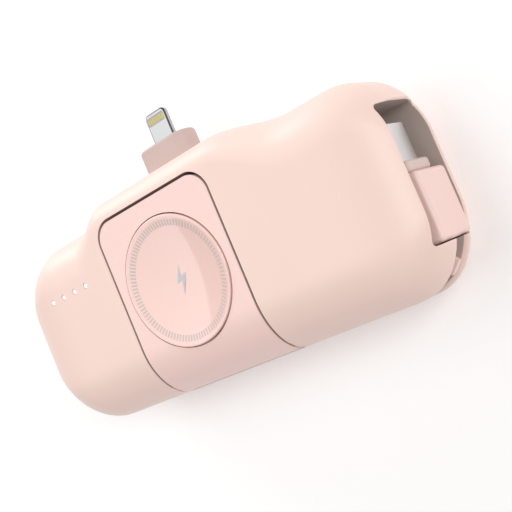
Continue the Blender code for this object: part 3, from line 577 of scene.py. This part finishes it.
def moulded(name, tone, cloud_tone, gloss, grain=2600.0, bump=0.02, spread=0.06, metallic=0.0, **constants):
    """A moulded, plated or printed finish: the shared grain drives colour, roughness and a fine bump."""
    look = bpy.data.materials.new(name)
    look.use_nodes = True
    tree = look.node_tree
    shader = tree.nodes["Principled BSDF"]
    place = tree.nodes.new("ShaderNodeTexCoord")
    surface = tree.nodes.new("ShaderNodeGroup")
    surface.node_tree = moulded_grain
    surface.inputs["Tone"].default_value = (*tone, 1)
    surface.inputs["Cloud tone"].default_value = (*cloud_tone, 1)
    surface.inputs["Grain size"].default_value = grain
    surface.inputs["Gloss"].default_value = gloss - spread / 2
    surface.inputs["Gloss spread"].default_value = spread
    relief = tree.nodes.new("ShaderNodeBump")
    relief.inputs["Strength"].default_value = bump
    relief.inputs["Distance"].default_value = 0.05 * MM
    tree.links.new(place.outputs["Object"], surface.inputs["Place"])
    tree.links.new(surface.outputs["Colour"], shader.inputs["Base Color"])
    tree.links.new(surface.outputs["Roughness"], shader.inputs["Roughness"])
    tree.links.new(surface.outputs["Height"], relief.inputs["Height"])
    tree.links.new(relief.outputs["Normal"], shader.inputs["Normal"])
    shader.inputs["Metallic"].default_value = metallic
    for socket, value in constants.items():
        shader.inputs[socket.replace("_", " ")].default_value = value
    return look


peach = moulded("soft_touch_peach", (0.925, 0.695, 0.62), (0.95, 0.72, 0.645), 0.40, bump=0.05)
# A grey-taupe painted shade for the walls inside the bay and the trough, darker than the peach where these
# hollows fall into shade.
painted_pocket_shade = moulded("painted_shade_in_pockets", (0.44, 0.365, 0.33), (0.48, 0.395, 0.355), 0.5, bump=0.06)
# A darker painted shade for the walls of the gap round the watch pad and of the disc's recess, where shade
# falls in the narrow gaps.
painted_gap_shade = moulded("painted_shade_in_gaps", (0.56, 0.41, 0.37), (0.60, 0.44, 0.40), 0.6, bump=0.06)


def face_places(piece):
    """The middles of all faces as three arrays x, y, z, and how far each face leans from level, 0 to 1."""
    middles = np.zeros(len(piece.data.polygons) * 3)
    facing = np.zeros(len(piece.data.polygons) * 3)
    piece.data.polygons.foreach_get("center", middles)
    piece.data.polygons.foreach_get("normal", facing)
    return *middles.reshape(-1, 3).T, 1 - np.abs(facing.reshape(-1, 3)[:, 2])


def pad_distance(x, y):
    """How far points lie outside the pad's front outline, negative inside. The corners are circles."""
    across = np.maximum(np.abs(x - PAD_X) - (PAD_HALF_WIDTH - PAD_CORNER), 0)
    along = np.maximum(y - (PAD_TOP_Y - PAD_CORNER), 0)
    return np.hypot(across, along) - PAD_CORNER


def paint_hollow_shade(shell):
    """The walls of the bay and of the trough take a grey-taupe painted shade, standing for the shade inside
    these pockets, and their lips stay peach. The walls and floor of the pad's well take a darker painted
    shade, standing for the shade in the gap round the pad."""
    x, y, z, lean = face_places(shell)
    slack = 0.02 * MM
    corners_y = 7 * MM
    side = pad_distance(x, np.minimum(y, corners_y)) < PAD_SIDE_GAP + slack
    top = pad_distance(x, y - PAD_TOP_GAP + PAD_SIDE_GAP) < PAD_SIDE_GAP + slack
    floor = np.abs(z - WELL_FLOOR_Z) < 0.1 * MM
    wall = floor | ((z > WELL_FLOOR_Z) & (lean > 0.5))
    knuckle = np.hypot(y - PIN_Y, z - PIN_Z) < KNUCKLE_WELL + slack
    well = np.where(y < corners_y, side, top) & (wall | knuckle)
    bay = ((x > BAY_FLOOR_X - slack) & (y > BAY_LOW[0] - slack) & (y < BAY_HIGH[0] + slack)
           & (z > BAY_LOW[1] - slack) & (z < BAY_HIGH[1] + slack))
    trough = (x > TROUGH_START_X - slack) & (y < -20 * MM) & (np.abs(z - MID_Z) < TROUGH_HALF_WIDTH + slack)
    # Slot 1 paints shade on the bay and trough walls, slot 2 a darker painted shade on the walls and floor of
    # the pad's well.
    shell.data.polygons.foreach_set("material_index", (bay | trough).astype(np.int32) + 2 * well)


def build_shell():
    """Skin, less everything behind the split, less the hollow, less each opening."""
    shell = outer_skin("front_shell")
    tools = [
        block("behind_split", (-FAR, -FAR, -FAR), (FAR, FAR, SPLIT_Z + GAP / 2)),
        shell_hollow(),
        prism("pad_well", pad_outline(PAD_SIDE_GAP, PAD_TOP_GAP), WELL_FLOOR_Z, FAR, "Z"),
        rod("knuckle_well", KNUCKLE_WELL, -KNUCKLE_WELL_HALF_WIDTH, KNUCKLE_WELL_HALF_WIDTH, PIN_MIDDLE,
            "X", 96),
        rod("pin_bores", PIN_BORE, -PIN_BORE_DEPTH, PIN_BORE_DEPTH, PIN_MIDDLE, "X", 32),
        bay_room("plug_bay"),
        trough_walls("cable_trough", TROUGH_DEPTH, TROUGH_HALF_WIDTH, TROUGH_START_X),
        trough_lips("trough_lips"),
        rod("gland_hole", GLAND_HOLE, 24 * MM, 29 * MM, (0, BOTTOM_Y + CABLE_DEPTH, MID_Z), "X", 40),
        small_openings(),
    ]
    carve(shell, tools)
    # The second and third finishes are painted shade for the pockets and for the gap round the pad.
    coat(shell, peach, painted_pocket_shade, painted_gap_shade)
    paint_hollow_shade(shell)
    settle(shell)
    return shell


front_shell = build_shell()
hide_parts("main_shell")
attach(front_shell, "housing")


# ------------------------------------------------------------------ back cover and its screws
# A shallow tray in the same plastic that closes the back of the shell. Three plated pan-head screws
# sit in counterbores and bite into the shell's posts.

def build_back_cover():
    """The skin behind the split, hollowed, with three stepped screw holes."""
    cover = outer_skin("back_tray")
    head, sunk = 2.2 * MM, 1.2 * MM
    profile = [(0, -MM), (head, -MM), (head, sunk), (SCREW_BORE, sunk), (SCREW_BORE, FAR), (0, FAR)]
    holes = [turned(f"cover_hole_{i}", profile, (x, y, 0), "Z", 48) for i, (x, y) in enumerate(SCREW_PLACES)]
    before = block("before_split", (-FAR, -FAR, SPLIT_Z - GAP / 2), (FAR, FAR, FAR))
    carve(cover, [before, hollow_skin("cover_hollow"), joined("cover_holes", holes)])
    coat(cover, peach)
    settle(cover)
    return cover


back_tray = build_back_cover()
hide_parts("back_cover")
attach(back_tray, "housing")

plated_steel = moulded("plated_steel", (0.74, 0.74, 0.75), (0.80, 0.80, 0.80), 0.28, 1800.0, 0.03, 0.08, 1.0)


def finish_nodes(names, look):
    """Give carried-over pieces their finish."""
    for name in names:
        coat(nodes[name], look)


finish_nodes(["cover_screw_1", "cover_screw_2", "cover_screw_3", "pad_hinge_pin"], plated_steel)


# ------------------------------------------------------------------ watch pad panel
# A thinner moulding in a pinker satin plastic, with the same outer curve as the shell. It ends in a
# round knuckle at the bottom edge, which turns on the steel pin.

DISC_MIDDLE = (PAD_X, -7.535 * MM, 0.0)
RECESS_RADIUS = 15.65 * MM
RECESS_STEP = 14.2 * MM
KNUCKLE_RADIUS = 4.33 * MM

rose = moulded("satin_rose", (0.955, 0.69, 0.635), (0.97, 0.71, 0.655), 0.34, bump=0.03)


def build_pad_panel():
    """The skin inside the pad's outline, with its knuckle, hollow back, stepped recess and pin bore."""
    panel = outer_skin("watch_panel")
    carve(panel, [prism("pad_blank", pad_outline(0, 0), 22 * MM, FAR, "Z")], "INTERSECT")
    knuckle = rod("knuckle", KNUCKLE_RADIUS, -PAD_HALF_WIDTH, PAD_HALF_WIDTH, PIN_MIDDLE, "X", 96)
    carve(panel, [knuckle], "UNION")
    hollow = oblong((PAD_X, -5.2 * MM), 16.2 * MM, 15.6 * MM, 3.5 * MM)
    recess = [(0, 24 * MM), (RECESS_STEP, 24 * MM), (RECESS_STEP, 27 * MM), (RECESS_RADIUS, 27 * MM),
              (RECESS_RADIUS, FAR), (0, FAR)]
    carve(panel, [
        prism("pad_hollow", hollow, 0, 25.9 * MM, "Z"),
        turned("disc_recess", recess, DISC_MIDDLE, "Z", 160),
        rod("knuckle_bore", PIN_BORE, -FAR, FAR, PIN_MIDDLE, "X", 32),
    ])
    # The second finish is a painted shade for the panel's edges and the recess wall.
    coat(panel, rose, painted_gap_shade)
    paint_edge_shade(panel)
    settle(panel)
    return panel


def paint_edge_shade(panel):
    """The panel's side walls and the wall of the disc's recess take a darker painted shade, standing for the
    shade in the gap round the panel and in the recess.
    """
    x, y, z, lean = face_places(panel)
    slack = 0.02 * MM
    edge = (pad_distance(x, y) > -slack) & (z > 21 * MM)
    from_disc = np.hypot(x - DISC_MIDDLE[0], y - DISC_MIDDLE[1])
    recess_wall = (np.abs(from_disc - RECESS_RADIUS) < slack) & (lean > 0.5)
    # Edge faces and the recess wall take the painted shade.
    panel.data.polygons.foreach_set("material_index", (edge | recess_wall).astype(np.int32))


watch_panel = build_pad_panel()
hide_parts("pad_panel")
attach(watch_panel, "watch_pad")


# ------------------------------------------------------------------ charging disc
# A polished, slightly dished disc that a watch rests in. A ring of short ticks and a plain bolt are
# printed on the dish in grey, and the rim stands a hair proud of the panel.

DISC_TOP = 29.35 * MM
DISH_RADIUS = 14.9 * MM
DISH_DEPTH = 2.2 * MM

gloss_rose = moulded("polished_rose", (0.925, 0.64, 0.585), (0.945, 0.66, 0.60), 0.10, bump=0.0,
                     spread=0.02, Coat_Weight=0.6, Coat_Roughness=0.04)
grey_print = moulded("grey_print", (0.60, 0.52, 0.48), (0.66, 0.57, 0.53), 0.35, bump=0.01)
silver_print = moulded("silver_print", (0.56, 0.56, 0.58), (0.62, 0.62, 0.64), 0.30, bump=0.01)


def dish_height(x, y):
    """Height of the dish, top - depth (1 - r r / R R), at points measured from its middle."""
    return DISC_TOP - DISH_DEPTH * (1 - (x * x + y * y) / DISH_RADIUS ** 2)


def dish_profile():
    """The disc's turned profile: boss, flange, a small rounded rim, then the dish down to the middle."""
    edge = np.radians(np.linspace(0, 90, 6))
    rim = np.column_stack([(15.1 + 0.25 * np.cos(edge)) * MM, DISC_TOP + (0.25 * np.sin(edge) - 0.25) * MM])
    radius = DISH_RADIUS * np.linspace(1, 0, 28)
    dish = np.column_stack([radius, dish_height(radius, 0)])
    boss, boss_z, flange_z = 13.9 * MM, 26.1 * MM, 27.3 * MM
    base = [(0, boss_z), (boss, boss_z), (boss, flange_z), (15.35 * MM, flange_z)]
    return np.vstack([base, rim, dish])


def ticks(name, count=100, inner=12.65 * MM, outer=14.1 * MM, half_width=0.2 * MM, rise=0.03 * MM):
    """A ring of printed strokes: each is a thin slab on the dish between two radii, turned to its angle."""
    turn = np.arange(count) * 2 * math.pi / count
    radial = np.column_stack([np.cos(turn), np.sin(turn)])
    across = np.column_stack([-np.sin(turn), np.cos(turn)])
    spots = np.array([(inner, -1), (outer, -1), (outer, 1), (inner, 1)])
    flat = radial[:, None] * spots[:, :1] + across[:, None] * spots[:, 1:] * half_width
    height = dish_height(flat[..., 0], flat[..., 1])[..., None]
    upper = np.concatenate([flat, height + rise], axis=-1)
    lower = np.concatenate([flat, height - rise], axis=-1)
    points = np.concatenate([lower, upper], axis=1).reshape(-1, 3) + np.array(DISC_MIDDLE)
    pattern = np.array([(3, 2, 1, 0), (4, 5, 6, 7), (0, 1, 5, 4), (1, 2, 6, 5), (2, 3, 7, 6), (3, 0, 4, 7)])
    faces = (np.arange(count)[:, None, None] * 8 + pattern).reshape(-1, 4)
    data = bpy.data.meshes.new(name)
    data.from_pydata(points.tolist(), [], faces.tolist())
    data.materials.append(grey_print)
    made = bpy.data.objects.new(name, data)
    bpy.context.scene.collection.objects.link(made)
    return made


def bolt(name, rise=0.03 * MM):
    """A plain zigzag bolt, as a thin slab that follows the dish, leaning a little to the right."""
    outline = np.array([(0.72, 3.45), (0.12, 0.78), (1.95, 1.12), (-0.80, -3.60), (-0.03, -0.22),
                        (-1.68, -0.52)]) * MM
    height = dish_height(outline[:, 0], outline[:, 1])[:, None]
    rings = [np.column_stack([outline, height + side * rise]) for side in (-1, 1)]
    return solid(name, np.array(rings) + np.array(DISC_MIDDLE), look=silver_print)


charge_disc = turned("dished_disc", dish_profile(), DISC_MIDDLE, "Z", 160, gloss_rose)
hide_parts("charge_disc")
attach(charge_disc, "watch_pad")
for mark in (ticks("disc_ticks"), bolt("disc_bolt")):
    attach(mark, "watch_pad")


# ------------------------------------------------------------------ inside the watch pad
# A white plate closes the pad's back. Behind the disc lie the copper coil on its dark ferrite sheet,
# the magnet that centres the watch, and a small green board.

white_plastic = moulded("white_plastic", (0.80, 0.80, 0.78), (0.84, 0.84, 0.82), 0.4, bump=0.05)
wound_copper = moulded("wound_copper", (0.70, 0.32, 0.16), (0.80, 0.42, 0.22), 0.32, 3500.0, 0.2, 0.1, 1.0)
dark_ferrite = moulded("dark_ferrite", (0.05, 0.05, 0.055), (0.08, 0.08, 0.085), 0.7, 1500.0, 0.15)
green_board = moulded("green_board", (0.02, 0.16, 0.07), (0.03, 0.20, 0.09), 0.4, 900.0, 0.08)

finish_nodes(["pad_back_plate"], white_plastic)
finish_nodes(["charge_coil"], wound_copper)
finish_nodes(["ferrite_sheet"], dark_ferrite)
finish_nodes(["centre_magnet"], plated_steel)
finish_nodes(["pad_board"], green_board)


# ------------------------------------------------------------------ status lamps
# Four clear light pipes come up flush with the front, each over a small white lamp on the board.

clear_pipe = moulded("clear_pipe", (0.97, 0.97, 0.96), (0.99, 0.99, 0.98), 0.16, bump=0.0,
                     Emission_Strength=0.12, Emission_Color=(1.0, 0.98, 0.95, 1.0))


def light_pipe(number, x, y):
    """A short rod with a softly domed end."""
    edge = np.radians(np.linspace(0, 90, 6))
    dome = np.column_stack([(0.42 + 0.2 * np.cos(edge)) * MM, (28.74 + 0.18 * np.sin(edge)) * MM])
    profile = np.vstack([[(0, 18.9 * MM), (0.62 * MM, 18.9 * MM)], dome, [(0, 28.95 * MM)]])
    return turned(f"pipe_{number}", profile, (x, y, 0), "Z", 32, clear_pipe)


for number, (x, y) in enumerate(LAMP_PLACES, start=1):
    pipe = light_pipe(number, x, y)
    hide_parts(f"light_pipe_{number}")
    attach(pipe, "housing")
finish_nodes([f"status_lamp_{number}" for number in range(1, 5)], clear_pipe)


# ------------------------------------------------------------------ power button
# A small pill-shaped cap that stands half a millimetre proud of the far edge.

def pillow(name, outline, levels, insets, axis, look):
    """A cap on an oblong outline: each level is the outline drawn in by its inset, so its edges are round.
    outline is (centre, half_u, half_v, radius)."""
    centre, half_u, half_v, radius = outline
    rings = []
    for height, inset in zip(levels, insets):
        shape = oblong(centre, half_u - inset, half_v - inset, max(radius - inset, 0.05 * MM), 16)
        rings.append(np.column_stack([shape, np.full(len(shape), height)]))
    return solid(name, turn_to(np.array(rings), axis), look=look)


def round_over(low, high, radius, steps=6):
    """Levels and insets of a block whose two ends are rounded: radius (1 - sin a), radius (1 - cos a)."""
    turn = np.linspace(0, math.pi / 2, steps + 1)
    levels = np.concatenate([low + radius * (1 - np.sin(turn))[::-1], high - radius * (1 - np.sin(turn))])
    insets = np.concatenate([radius * (1 - np.cos(turn))[::-1], radius * (1 - np.cos(turn))])
    return levels, insets


cap_levels, cap_insets = round_over(9.6 * MM, 15.35 * MM, 0.4 * MM)
cap_outline = ((MID_Z, BUTTON_X), 1.9 * MM, 4.0 * MM, 1.88 * MM)
button_cap = pillow("button_cap", cap_outline, cap_levels, cap_insets, "Y", rose)
button_rim = prism("button_flange", oval((MID_Z, BUTTON_X), 2.9 * MM, 5.0 * MM), 9.8 * MM, 10.8 * MM, "Y")
carve(button_cap, [button_rim], "UNION")
coat(button_cap, rose)
settle(button_cap)
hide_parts("power_button")
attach(button_cap, "power_button")


# ------------------------------------------------------------------ phone plug
# A rubbery oval seat stands on the hump and carries a thin plated tongue. Each face of the tongue has
# a shallow pocket with eight gold contacts.

SEAT_FOOT_Y = 14.2 * MM
SEAT_TOP_Y = 25.27 * MM
TONGUE_THICKNESS = 1.5 * MM

seat_rubber = moulded("seat_rubber", (0.58, 0.45, 0.415), (0.61, 0.475, 0.44), 0.55, bump=0.06)
tongue_plate = moulded("tongue_plate", (0.44, 0.45, 0.455), (0.47, 0.48, 0.485), 0.16, 1500.0, 0.02, 0.05,
                       1.0)
# A near-black painted reflection for the tongue's rolled edges, standing for the dark surroundings that the
# polished edges mirror.
painted_edge_reflection = moulded("painted_dark_edge_reflection", (0.035, 0.035, 0.037), (0.05, 0.05, 0.052), 0.14, 1500.0, 0.0, 0.04,
                      1.0)
contact_gold = moulded("contact_gold", (0.42, 0.37, 0.10), (0.48, 0.43, 0.14), 0.25, 2000.0, 0.02, 0.06, 1.0)
pale_insert = moulded("pale_insert", (0.40, 0.38, 0.36), (0.44, 0.42, 0.40), 0.35, bump=0.03)


def build_seat():
    """Oval column with a round-over on top, its flange, and the slot for the tongue. The foot is straight,
    so its half of the levels is spread evenly with no inset."""
    levels, insets = round_over(SEAT_FOOT_Y, SEAT_TOP_Y, 0.8 * MM)
    foot = len(levels) // 2
    insets[:foot] = 0
    levels[:foot] = np.linspace(SEAT_FOOT_Y, 20 * MM, foot)
    outline = ((MID_Z, SEAT_X), 4.0 * MM, 8.1 * MM, 3.98 * MM)
    seat = pillow("plug_seat", outline, levels, insets, "Y", seat_rubber)
    flange = prism("seat_flange", oval((MID_Z, SEAT_X), 4.9 * MM, 10.0 * MM), 14.3 * MM, 16.1 * MM, "Y")
    carve(seat, [flange], "UNION")
    slot = oblong((MID_Z, SEAT_X), 1.05 * MM, 3.65 * MM, 0.5 * MM)
    carve(seat, [prism("tongue_slot", slot, 16.9 * MM, FAR, "Y")])
    coat(seat, seat_rubber)
    settle(seat)
    return seat


POCKET_MIDDLE = (SEAT_X, 31.0 * MM)
CONTACT_PITCH = 0.66 * MM


def contact_rows(name, side):
    """Eight gold pads in a row, each a thin oblong let into the pocket."""
    outer = MID_Z + side * 0.72 * MM
    low, high = sorted((outer, outer - side * 0.2 * MM))
    pads = []
    for number in range(8):
        middle = (SEAT_X + (number - 3.5) * CONTACT_PITCH, POCKET_MIDDLE[1])
        pads.append(prism(f"pad_{number}", oblong(middle, 0.19 * MM, 0.74 * MM, 0.1 * MM, 4), low, high, "Z"))
    row = joined(name, pads)
    row.data.materials.append(contact_gold)
    settle(row)
    return row


def insert_plate(name, side):
    """The pale moulding that fills the pocket behind and between the pads."""
    outer = MID_Z + side * 0.69 * MM
    low, high = sorted((outer, outer - side * 0.22 * MM))
    shape = oblong(POCKET_MIDDLE, 2.72 * MM, 1.02 * MM, 0.27 * MM, 6)
    return prism(name, shape, low, high, "Z", pale_insert)


def build_tongue():
    """A blade with round corners and rolled edges, and a shallow pocket in each face. The rolled edges take a
    near-black painted reflection, standing for the dark surroundings that their polish would mirror."""
    half = TONGUE_THICKNESS / 2
    levels, insets = round_over(MID_Z - half, MID_Z + half, 0.45 * MM)
    outline = ((SEAT_X, 25.1 * MM), 3.35 * MM, 7.9 * MM, 1.3 * MM)
    blade = pillow("plug_tongue", outline, levels, insets, "Z", tongue_plate)
    pockets = []
    for side in (-1, 1):
        surface = MID_Z + side * half
        shape = oblong(POCKET_MIDDLE, 2.75 * MM, 1.05 * MM, 0.3 * MM, 6)
        pockets.append(prism(f"pocket_{side}", shape, surface - 0.3 * MM, surface + 0.3 * MM, "Z"))
    carve(blade, [joined("pockets", pockets)])
    coat(blade, tongue_plate, painted_edge_reflection)
    lean = face_places(blade)[3]
    # Faces between level and upright, the rolled edges, take the painted dark reflection.
    blade.data.polygons.foreach_set("material_index", ((lean > 0.03) & (lean < 0.8)).astype(np.int32))
    settle(blade)
    return blade


plug_seat = build_seat()
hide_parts("phone_plug_seat")
plug_tongue = build_tongue()
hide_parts("phone_plug_tongue")
for side, face in ((1, "front"), (-1, "back")):
    contacts = contact_rows(f"gold_pads_{face}", side)
    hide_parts(f"phone_plug_contacts_{face}")
    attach(contacts, "housing")
    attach(insert_plate(f"contact_insert_{face}", side), "housing")
for piece in (plug_seat, plug_tongue):
    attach(piece, "housing")


# ------------------------------------------------------------------ cable plug
# A block-shaped grip with soft edges and a narrower collar, moulded over a flat plated plug shell.
# The shell is a folded tube with a dark carrier inside.

PLUG_X = 54.45 * MM
bright_plate = moulded("bright_plate", (0.74, 0.74, 0.75), (0.78, 0.78, 0.78), 0.3, 1500.0, 0.02, 0.06, 1.0)
collar_rose = moulded("collar_rose", (0.72, 0.58, 0.53), (0.75, 0.61, 0.56), 0.45, bump=0.03)

levels, insets = round_over(7.8 * MM, 21.2 * MM, 1.0 * MM)
grip_outline = ((55.55 * MM, -15.45 * MM), 3.4 * MM, 7.45 * MM, 1.1 * MM)
plug_grip = pillow("plug_grip", grip_outline, levels, insets, "Z", rose)
levels, insets = round_over(9.45 * MM, 19.55 * MM, 0.7 * MM)
collar_outline = ((54.85 * MM, -6.575 * MM), 2.25 * MM, 1.275 * MM, 0.75 * MM)
plug_collar = pillow("plug_collar", collar_outline, levels, insets, "Z", collar_rose)
sides = oval((MID_Z, PLUG_X), 4.125 * MM, 1.2 * MM)
inner_sides = oval((MID_Z, PLUG_X), 3.825 * MM, 0.9 * MM)
metal_sleeve = prism("metal_sleeve", sides, -5.15 * MM, 2.97 * MM, "Y", bright_plate)
carve(metal_sleeve, [prism("sleeve_mouth", inner_sides, -4.5 * MM, FAR, "Y")])
coat(metal_sleeve, bright_plate)
settle(metal_sleeve)
black_resin = moulded("black_resin", (0.02, 0.02, 0.021), (0.03, 0.03, 0.031), 0.45, 1500.0, 0.08)
finish_nodes(["cable_plug_core"], black_resin)
plug_pieces = ((plug_grip, "cable_plug_grip", "panel"), (plug_collar, "cable_plug_collar", "panel"),
               (metal_sleeve, "cable_plug_shell", "plug_metal"))
for piece, node, place in plug_pieces:
    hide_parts(node)
    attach(piece, "cable_plug")


# ------------------------------------------------------------------ cable, gland and clip
# A short round lead in the shell's own colour. It leaves the grip, lies in the trough round the lower
# corner under a small clip, and goes back into the shell through a gland.

CABLE_RADIUS = 1.5 * MM
CABLE_EXIT = np.array([54.0 * MM, -23.2 * MM])
CABLE_END_X = 22.5 * MM

cable_jacket = moulded("cable_jacket", (0.80, 0.57, 0.49), (0.84, 0.60, 0.52), 0.5, bump=0.08)


def cable_path(points=90):
    """The middle line: straight out of the grip, round the corner at its depth, and along the bottom."""
    corner = corner_line(CABLE_DEPTH, first=57.0, steps=30)
    lead = CABLE_EXIT - np.outer(range(3), [0, 0.4 * MM])
    run = np.linspace(corner[-1, 0], CABLE_END_X, 24)[1:]
    straight = np.column_stack([run, np.full(len(run), corner[-1, 1])])
    rough = np.vstack([lead, corner, straight])
    for _ in range(3):
        middle = (rough[:-2] + 2 * rough[1:-1] + rough[2:]) / 4
        rough = np.vstack([rough[:1], middle, rough[-1:]])
    gone = np.concatenate([[0], np.cumsum(np.hypot(*np.diff(rough, axis=0).T))])
    even = np.linspace(0, gone[-1], points)
    return np.column_stack([np.interp(even, gone, rough[:, 0]), np.interp(even, gone, rough[:, 1])])


def tube(name, path, radius, look, segments=28):
    """A circle carried along a path in the middle plane: point + radius (normal cos a + Z sin a)."""
    along = np.gradient(path, axis=0)
    along /= np.hypot(*along.T)[:, None]
    sideways = np.column_stack([-along[:, 1], along[:, 0]])
    turn = np.linspace(0, 2 * math.pi, segments, endpoint=False)
    flat = path[:, None] + sideways[:, None] * radius * np.cos(turn)[None, :, None]
    height = np.broadcast_to(MID_Z + radius * np.sin(turn), flat.shape[:2])
    return solid(name, np.dstack([flat, height]), look=look)


plug_lead = tube("plug_lead", cable_path(), CABLE_RADIUS, cable_jacket)
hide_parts("plug_cable")
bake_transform(plug_lead)

finish_nodes(["cable_gland"], cable_jacket)
finish_nodes(["cable_clip"], rose)


# ------------------------------------------------------------------ cells and electronics
# Two wrapped round cells in white end holders, joined by nickel strips, lie behind the pad. The board
# at the left end carries the coil, the chip, the switch and the input socket.

blue_wrap = moulded("blue_wrap", (0.03, 0.18, 0.42), (0.04, 0.22, 0.48), 0.3, 700.0, 0.05)
finish_nodes(["battery_cell_lower", "battery_cell_upper"], blue_wrap)
finish_nodes(["cell_holder_left", "cell_holder_right"], white_plastic)
finish_nodes(["nickel_strip_left", "nickel_strip_right", "input_socket"], plated_steel)
finish_nodes(["main_board"], green_board)
finish_nodes(["power_inductor", "charge_chip", "power_switch", "input_socket_tongue"], black_resin)
